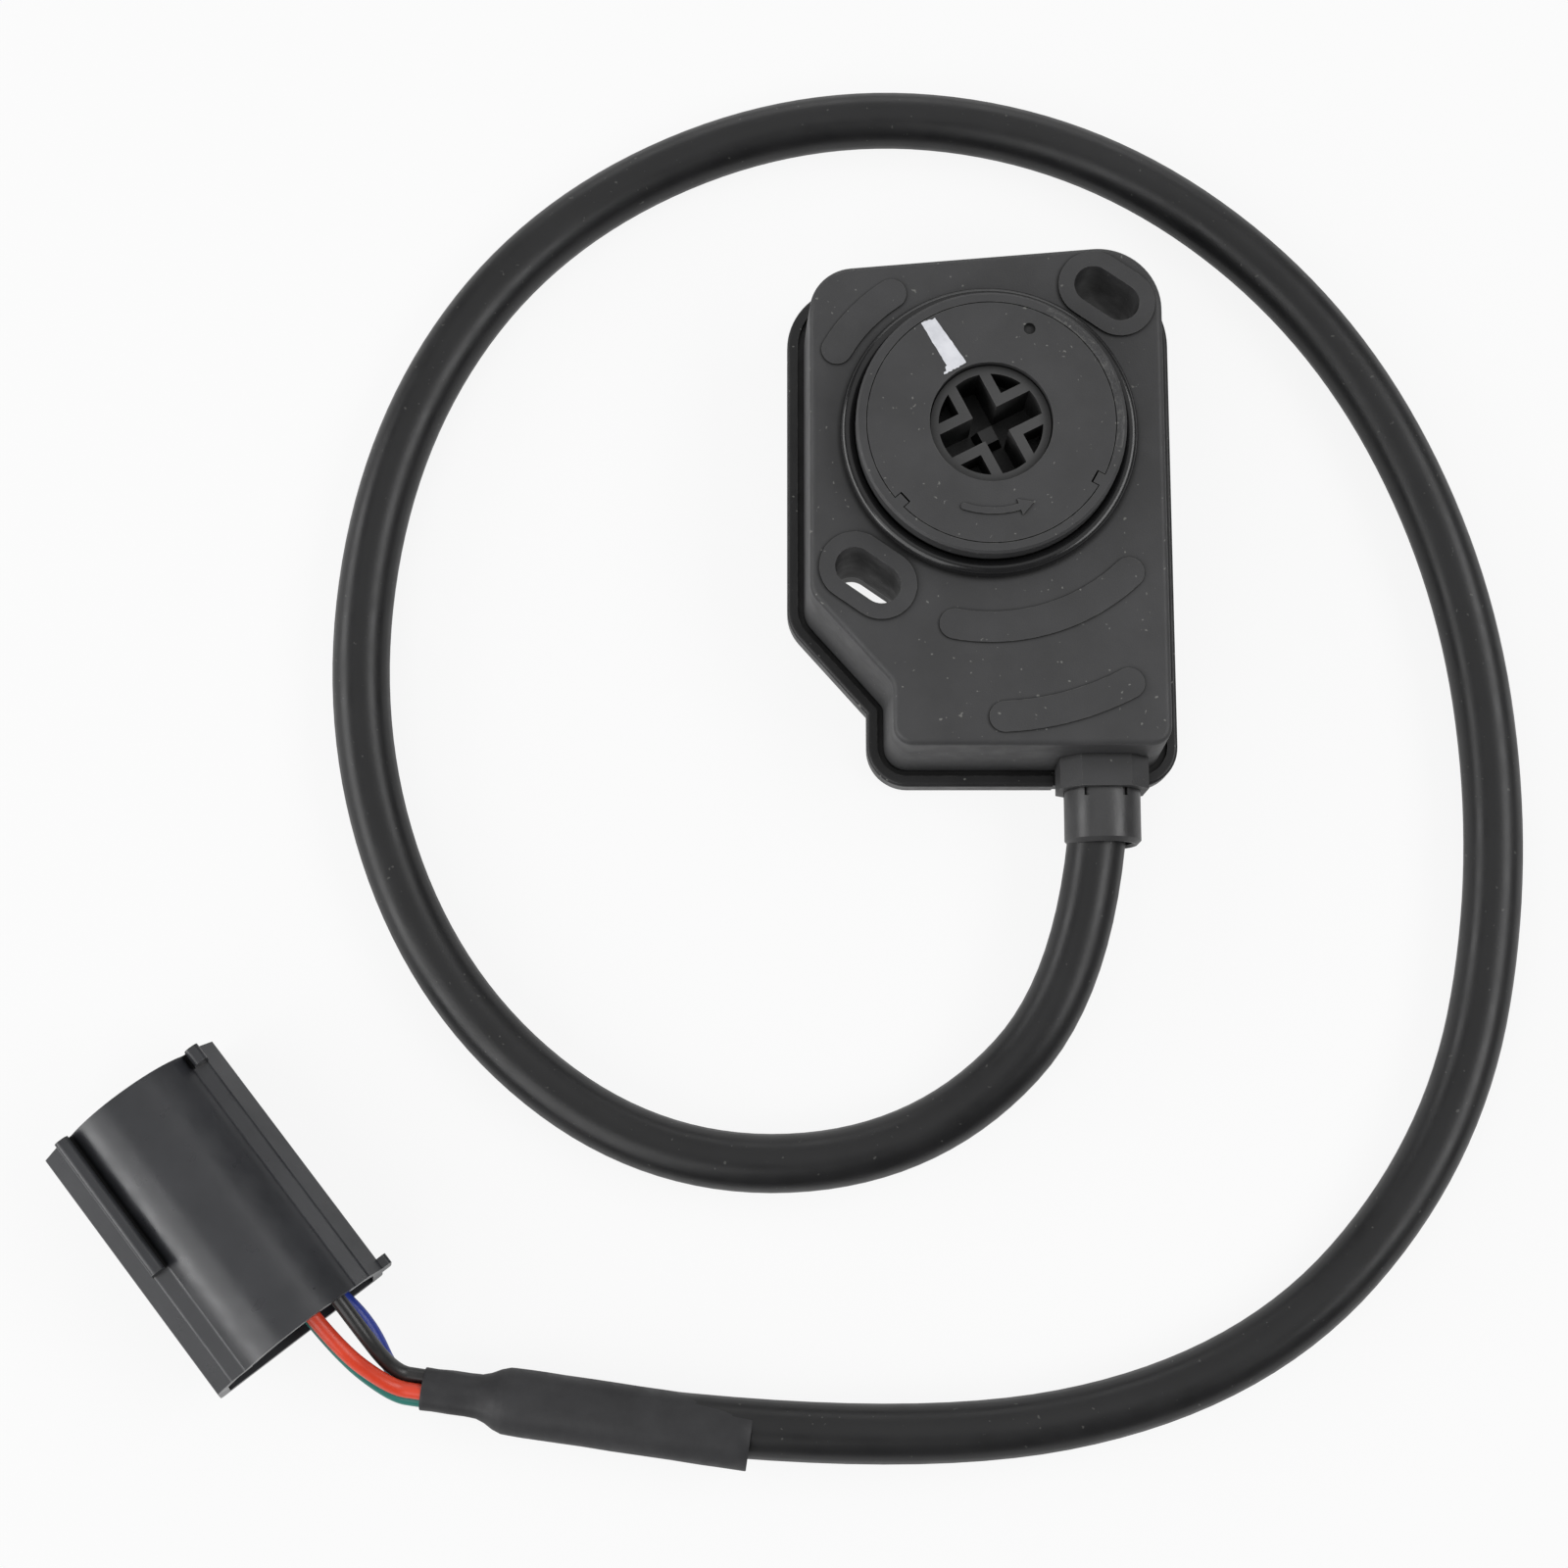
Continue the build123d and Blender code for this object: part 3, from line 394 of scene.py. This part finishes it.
SADDLE_LEFT = 9.68
SADDLE_RIGHT = 22.12
SADDLE_FOOT = 0.5
SADDLE_TOP = 3.6
SADDLE_SEAT = 1.82
SADDLE_FRONT = -45.95
SADDLE_DEPTH = 1.9
SADDLE_PROFILE = [
    (SADDLE_LEFT, SADDLE_FOOT),
    (SADDLE_LEFT, SADDLE_TOP),
    (10.74, SADDLE_TOP),
    (12.52, SADDLE_SEAT),
    (19.28, SADDLE_SEAT),
    (21.06, SADDLE_TOP),
    (SADDLE_RIGHT, SADDLE_TOP),
    (SADDLE_RIGHT, SADDLE_FOOT),
]


def make_saddle():
    """Extrude the saddle's outline through the thickness of the tray's rim."""
    shape = bmesh.new()
    outline = [shape.verts.new(mm(x, SADDLE_FRONT, z)) for x, z in SADDLE_PROFILE]
    shape.faces.new(outline)
    back = extrude_faces(shape)
    bmesh.ops.translate(shape, verts=back, vec=(0, mm(SADDLE_DEPTH), 0))
    bmesh.ops.triangulate(shape, faces=shape.faces)
    bmesh.ops.recalc_face_normals(shape, faces=shape.faces)
    return add_mesh("neck_saddle", shape)


saddle = make_saddle()
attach(saddle, "housing")


# Nodes that the finishes and the stage are made of

NOISE_ROUGHNESS = 0.55
TONE_START = 0.35
TONE_STOP = 0.65
MIX_SHARE = 0
MIX_FIRST = 6
MIX_SECOND = 7
MIX_RESULT = 2


def feed(tree, value, socket):
    """Link a value that is a socket, or set a plain number or colour."""
    if isinstance(value, bpy.types.NodeSocket):
        tree.links.new(value, socket)
    else:
        socket.default_value = value


def calculate(tree, operation, *values):
    """Work out one number from sockets or plain numbers."""
    node = tree.nodes.new("ShaderNodeMath")
    node.operation = operation
    for value, socket in zip(values, node.inputs):
        feed(tree, value, socket)
    return node.outputs["Value"]


def new_finish(name):
    """Start a material and give its node tree, shader and object coordinates."""
    material = bpy.data.materials.new(name)
    material.use_nodes = True
    tree = material.node_tree
    shader = tree.nodes["Principled BSDF"]
    coords = tree.nodes.new("ShaderNodeTexCoord")
    return material, tree, shader, coords.outputs["Object"]


def add_noise(tree, coords, scale, detail):
    """Noise of a given scale per metre on the piece's own coordinates."""
    texture = tree.nodes.new("ShaderNodeTexNoise")
    texture.inputs["Scale"].default_value = scale
    texture.inputs["Detail"].default_value = detail
    texture.inputs["Roughness"].default_value = NOISE_ROUGHNESS
    tree.links.new(coords, texture.inputs["Vector"])
    return texture.outputs["Fac"]


def spread(tree, value, low, high, start=0.3, stop=0.7):
    """Map a value from start to stop onto a range of numbers from low to high."""
    node = tree.nodes.new("ShaderNodeMapRange")
    node.inputs["From Min"].default_value = start
    node.inputs["From Max"].default_value = stop
    node.inputs["To Min"].default_value = low
    node.inputs["To Max"].default_value = high
    tree.links.new(value, node.inputs["Value"])
    return node.outputs["Result"]


def two_tones(tree, value, first, second):
    """Blend two colours by a noise value."""
    ramp = tree.nodes.new("ShaderNodeValToRGB")
    ends = ramp.color_ramp.elements
    ends[0].position = TONE_START
    ends[0].color = (*first, 1)
    ends[1].position = TONE_STOP
    ends[1].color = (*second, 1)
    tree.links.new(value, ramp.inputs["Fac"])
    return ramp.outputs["Color"]


def mix_colours(tree, share, first, second):
    """Mix two colours, each a socket or a plain colour, by a share from 0 to 1."""
    mix = tree.nodes.new("ShaderNodeMix")
    mix.data_type = "RGBA"
    tree.links.new(share, mix.inputs[MIX_SHARE])
    feed(tree, first, mix.inputs[MIX_FIRST])
    feed(tree, second, mix.inputs[MIX_SECOND])
    return mix.outputs[MIX_RESULT]


def add_bump(tree, shader, value, depth):
    """Raise the surface by a value times a depth."""
    bump = tree.nodes.new("ShaderNodeBump")
    bump.inputs["Strength"].default_value = 1.0
    bump.inputs["Distance"].default_value = mm(depth)
    tree.links.new(value, bump.inputs["Height"])
    tree.links.new(bump.outputs["Normal"], shader.inputs["Normal"])


# Finishes

# Painted shade: the near-black that corners and seam lines are darkened towards, wherever ambient
# occlusion finds another surface close by.
PAINTED_SHADE = (0.006, 0.006, 0.006, 1)
PAINTED_SHADE_MOST = 0.92
PAINTED_SHADE_SAMPLES = 16
CORNER_CLOSED = 0.5
CORNER_OPEN = 0.9

RUBBED = (0.11, 0.11, 0.105, 1)
WEAR_SAMPLES = 6
WEAR_MOST = 0.8
WEAR_SCALE = 900
WEAR_DETAIL = 3
WEAR_START = 0.42
WEAR_STOP = 0.66
EDGE_SHARP = 0.75
EDGE_FLAT = 0.97

DUST = (0.17, 0.17, 0.16, 1)
DUST_SCALE = 1300
DUST_DETAIL = 1
DUST_START = 0.735
DUST_STOP = 0.78

CLOUD_DETAIL = 4
GLOSS_FINER = 3
GLOSS_DETAIL = 2
GRAIN_DETAIL = 2


def seam_shade(tree, reach):
    """Share of painted shade in corners and along seam lines, within a reach of the wall beside them,
    found by ambient occlusion.
    """
    corner = tree.nodes.new("ShaderNodeAmbientOcclusion")
    corner.samples = PAINTED_SHADE_SAMPLES
    corner.inputs["Distance"].default_value = mm(reach)
    return spread(tree, corner.outputs["AO"], PAINTED_SHADE_MOST, 0.0, CORNER_CLOSED, CORNER_OPEN)


def edge_wear(tree, coords, reach):
    """Share of rubbed plastic along sharp edges, broken up by noise."""
    soft = tree.nodes.new("ShaderNodeBevel")
    soft.samples = WEAR_SAMPLES
    soft.inputs["Radius"].default_value = mm(reach)
    true = tree.nodes.new("ShaderNodeNewGeometry")
    turn = tree.nodes.new("ShaderNodeVectorMath")
    turn.operation = "DOT_PRODUCT"
    tree.links.new(soft.outputs["Normal"], turn.inputs[0])
    tree.links.new(true.outputs["Normal"], turn.inputs[1])
    edge = spread(tree, turn.outputs["Value"], 1.0, 0.0, EDGE_SHARP, EDGE_FLAT)
    rubs = add_noise(tree, coords, WEAR_SCALE, WEAR_DETAIL)
    patches = spread(tree, rubs, 0.0, WEAR_MOST, WEAR_START, WEAR_STOP)
    return calculate(tree, "MULTIPLY", edge, patches)


def grained_plastic(
    name, dark, light, rough, grain, depth, mottle=120, shade_reach=0, dust=0, wear=0, sheen=0.5
):
    """Moulded plastic: spark grain, cloudy tone, uneven gloss, and painted corner shade, dust and
    wear if asked.

    Grain and mottle are scales per metre. Depth, the reach of the painted corner shade and wear are
    millimetres, and dust is a share.
    """
    material, tree, shader, coords = new_finish(name)
    shader.inputs["Specular IOR Level"].default_value = sheen
    cloud = add_noise(tree, coords, mottle, CLOUD_DETAIL)
    colour = two_tones(tree, cloud, dark, light)
    if dust:
        flecks = add_noise(tree, coords, DUST_SCALE, DUST_DETAIL)
        share = spread(tree, flecks, 0.0, dust, DUST_START, DUST_STOP)
        colour = mix_colours(tree, share, colour, DUST)
    if wear:
        colour = mix_colours(tree, edge_wear(tree, coords, wear), colour, RUBBED)
    # Painted shade: the colour is darkened in corners and along seam lines, as far as the given
    # reach.
    if shade_reach:
        colour = mix_colours(tree, seam_shade(tree, shade_reach), colour, PAINTED_SHADE)
    tree.links.new(colour, shader.inputs["Base Color"])
    gloss = add_noise(tree, coords, mottle * GLOSS_FINER, GLOSS_DETAIL)
    tree.links.new(spread(tree, gloss, *rough), shader.inputs["Roughness"])
    add_bump(tree, shader, add_noise(tree, coords, grain, GRAIN_DETAIL), depth)
    return material


# A finish given a reach of corner shade is darkened by painted shade in its corners and along seam
# lines.
charcoal = grained_plastic(
    "charcoal_plastic",
    dark=(0.039, 0.039, 0.040),
    light=(0.048, 0.048, 0.0495),
    rough=(0.44, 0.56),
    grain=4200,
    depth=0.02,
    shade_reach=1.0,
    dust=0.8,
    wear=0.25,
    sheen=0.38,
)
tray_black = grained_plastic(
    "tray_plastic",
    dark=(0.013, 0.013, 0.0135),
    light=(0.019, 0.019, 0.0195),
    rough=(0.32, 0.44),
    grain=3000,
    depth=0.012,
    shade_reach=1.4,
    dust=0.8,
    wear=0.2,
    sheen=0.35,
)
collar_black = grained_plastic(
    "collar_plastic",
    dark=(0.034, 0.034, 0.035),
    light=(0.046, 0.046, 0.047),
    rough=(0.3, 0.42),
    grain=3000,
    depth=0.02,
    shade_reach=0.5,
)
rotor_black = grained_plastic(
    "rotor_plastic",
    dark=(0.044, 0.044, 0.0445),
    light=(0.055, 0.055, 0.0555),
    rough=(0.4, 0.5),
    grain=3600,
    depth=0.012,
    shade_reach=4.5,
    wear=0.2,
    sheen=0.42,
)
ring_rubber = grained_plastic(
    "seal_rubber",
    dark=(0.008, 0.008, 0.0085),
    light=(0.012, 0.012, 0.0125),
    rough=(0.14, 0.24),
    grain=2200,
    depth=0.004,
)
jacket_rubber = grained_plastic(
    "cable_jacket",
    dark=(0.0055, 0.0055, 0.006),
    light=(0.0085, 0.0085, 0.0092),
    rough=(0.34, 0.43),
    grain=2600,
    depth=0.012,
    mottle=70,
    dust=0.3,
    sheen=0.46,
)
sleeve_film = grained_plastic(
    "shrink_film",
    dark=(0.022, 0.022, 0.0235),
    light=(0.032, 0.032, 0.034),
    rough=(0.46, 0.6),
    grain=1800,
    depth=0.02,
    mottle=160,
    sheen=0.35,
)
plug_black = grained_plastic(
    "plug_plastic",
    dark=(0.020, 0.021, 0.024),
    light=(0.030, 0.031, 0.035),
    rough=(0.26, 0.38),
    grain=2400,
    depth=0.003,
    mottle=90,
    shade_reach=0.8,
    wear=0.3,
    sheen=0.58,
)
laminate = grained_plastic(
    "board_laminate",
    dark=(0.05, 0.10, 0.04),
    light=(0.07, 0.13, 0.05),
    rough=(0.4, 0.55),
    grain=1500,
    depth=0.01,
    mottle=300,
)
paint_film = grained_plastic(
    "white_paint",
    dark=(0.62, 0.63, 0.67),
    light=(0.73, 0.74, 0.78),
    rough=(0.45, 0.6),
    grain=1800,
    depth=0.03,
    mottle=500,
)

WIRE_TONES = {
    "wire_red": ((0.72, 0.052, 0.019), (0.79, 0.070, 0.027)),
    "wire_black": ((0.018, 0.018, 0.018), (0.026, 0.026, 0.026)),
    "wire_blue": ((0.018, 0.04, 0.30), (0.026, 0.055, 0.37)),
    "wire_green": ((0.008, 0.16, 0.13), (0.012, 0.20, 0.165)),
}
wire_finishes = {}
for node_name, (dark, light) in WIRE_TONES.items():
    wire_finishes[node_name] = grained_plastic(
        node_name.replace("wire_", "") + "_insulation",
        dark,
        light,
        rough=(0.3, 0.42),
        grain=2200,
        depth=0.008,
        mottle=200,
    )

METAL_ROUGH = (0.25, 0.4)
METAL_CLOUDS = 700
METAL_CLOUD_DETAIL = 3
METAL_MARKS = 2500
METAL_MARK_DETAIL = 2


def drawn_metal(name, dark, light):
    """Bare metal with fine drawing marks."""
    material, tree, shader, coords = new_finish(name)
    shader.inputs["Metallic"].default_value = 1.0
    cloud = add_noise(tree, coords, METAL_CLOUDS, METAL_CLOUD_DETAIL)
    tree.links.new(two_tones(tree, cloud, dark, light), shader.inputs["Base Color"])
    gloss = add_noise(tree, coords, METAL_MARKS, METAL_MARK_DETAIL)
    tree.links.new(spread(tree, gloss, *METAL_ROUGH), shader.inputs["Roughness"])
    return material


terminal_metal = drawn_metal("terminal_metal", (0.60, 0.48, 0.28), (0.72, 0.60, 0.36))
spring_steel = drawn_metal("spring_steel", (0.42, 0.42, 0.43), (0.55, 0.55, 0.56))

NODE_FINISHES = {
    "housing": charcoal,
    "face_disc": charcoal,
    "base_tray": tray_black,
    "cable_collar": collar_black,
    "wiper_carrier": tray_black,
    "rotor": rotor_black,
    "turret_ring": ring_rubber,
    "tray_gasket": ring_rubber,
    "rotor_seal": ring_rubber,
    "cable_grommet": ring_rubber,
    "connector_shell": plug_black,
    "connector_pins": terminal_metal,
    "wiper_contacts": terminal_metal,
    "board_terminals": terminal_metal,
    "return_spring": spring_steel,
    "board_screws": spring_steel,
    "track_board": laminate,
    "inner_leads": wire_finishes["wire_black"],
}
for node_name, material in NODE_FINISHES.items():
    for material_slot in nodes[node_name].material_slots:
        material_slot.material = material

PIECE_FINISHES = [
    (cable, jacket_rubber),
    (sleeve, sleeve_film),
    (paint, paint_film),
    (weld, charcoal),
    (saddle, tray_black),
]
for piece, material in PIECE_FINISHES:
    piece.data.materials.append(material)
for node_name, wire in wires.items():
    wire.data.materials.append(wire_finishes[node_name])


# Stage: white floor, soft boxes round and above it, and a dim room

FLOOR_HALF = 1.5
FLOOR_DROP = mm(0.1)
FLOOR_TONE = 0.7
FLOOR_ROUGH = 0.9
FLOOR_SHEEN = 0.1
FLOOR_SEEN = 0.88
FLOOR_MIRRORED = 0.4


def make_floor():
    """A white floor that shows white to the camera and still takes a shadow."""
    shape = bmesh.new()
    bmesh.ops.create_grid(shape, x_segments=1, y_segments=1, size=FLOOR_HALF)
    bmesh.ops.translate(shape, verts=shape.verts, vec=(0, 0, -FLOOR_DROP))
    floor = add_mesh("floor", shape)
    material = bpy.data.materials.new("floor_white")
    material.use_nodes = True
    tree = material.node_tree
    shader = tree.nodes["Principled BSDF"]
    shader.inputs["Base Color"].default_value = (FLOOR_TONE, FLOOR_TONE, FLOOR_TONE, 1)
    shader.inputs["Roughness"].default_value = FLOOR_ROUGH
    shader.inputs["Specular IOR Level"].default_value = FLOOR_SHEEN
    glow = tree.nodes.new("ShaderNodeEmission")
    glow.inputs["Strength"].default_value = 1.0
    rays = tree.nodes.new("ShaderNodeLightPath").outputs
    mirrored = calculate(tree, "MAXIMUM", rays["Is Glossy Ray"], rays["Is Transmission Ray"])
    dimmed = calculate(tree, "MULTIPLY", mirrored, FLOOR_MIRRORED)
    share = calculate(tree, "MULTIPLY_ADD", rays["Is Camera Ray"], FLOOR_SEEN, dimmed)
    mix = tree.nodes.new("ShaderNodeMixShader")
    tree.links.new(share, mix.inputs["Fac"])
    tree.links.new(shader.outputs["BSDF"], mix.inputs[1])
    tree.links.new(glow.outputs["Emission"], mix.inputs[2])
    tree.links.new(mix.outputs["Shader"], tree.nodes["Material Output"].inputs["Surface"])
    floor.data.materials.append(material)


make_floor()

# Each soft box: its place, its size and its power
SOFTBOXES = {
    "softbox_left": ((-0.94, -0.08, 0.36), (1.2, 0.42), 5.7),
    "softbox_right": ((0.70, -0.02, 0.70), (1.0, 0.40), 5.1),
    "softbox_back": ((-0.02, 0.95, 0.28), (1.2, 0.40), 2.3),
    "softbox_front": ((-0.58, -0.67, 0.70), (0.8, 0.9), 5.1),
    "softbox_top": ((-0.02, 0.36, 1.0), (1.4, 1.4), 3.5),
}
SOFTBOX_AIM = Vector((-0.02, -0.04, 0.0))


def add_softbox(name, place, size, power):
    """A rectangular area lamp that looks at the middle of the part."""
    data = bpy.data.lights.new(name, "AREA")
    data.shape = "RECTANGLE"
    data.size, data.size_y = size
    data.energy = power
    lamp = add_object(name, data)
    lamp.location = place
    lamp.rotation_euler = (SOFTBOX_AIM - Vector(place)).to_track_quat("-Z", "Y").to_euler()


for name, (place, size, power) in SOFTBOXES.items():
    add_softbox(name, place, size, power)

ROOM_LIGHT = 0.09
ROOM_MIRRORED = 0.1


def make_room():
    """A dim room, white where the camera looks past the floor and paler in reflections."""
    world = bpy.data.worlds.new("room")
    bpy.context.scene.world = world
    world.use_nodes = True
    tree = world.node_tree
    rays = tree.nodes.new("ShaderNodeLightPath").outputs
    seen = calculate(tree, "MAXIMUM", rays["Is Camera Ray"], rays["Is Transmission Ray"])
    share = calculate(tree, "MULTIPLY_ADD", rays["Is Glossy Ray"], ROOM_MIRRORED, seen)
    room = tree.nodes["Background"]
    room.inputs["Color"].default_value = (1, 1, 1, 1)
    level = spread(tree, share, ROOM_LIGHT, 1.0, start=0.0, stop=1.0)
    tree.links.new(level, room.inputs["Strength"])


make_room()

bpy.context.scene.view_settings.view_transform = "Standard"

bpy.context.view_layer.update()
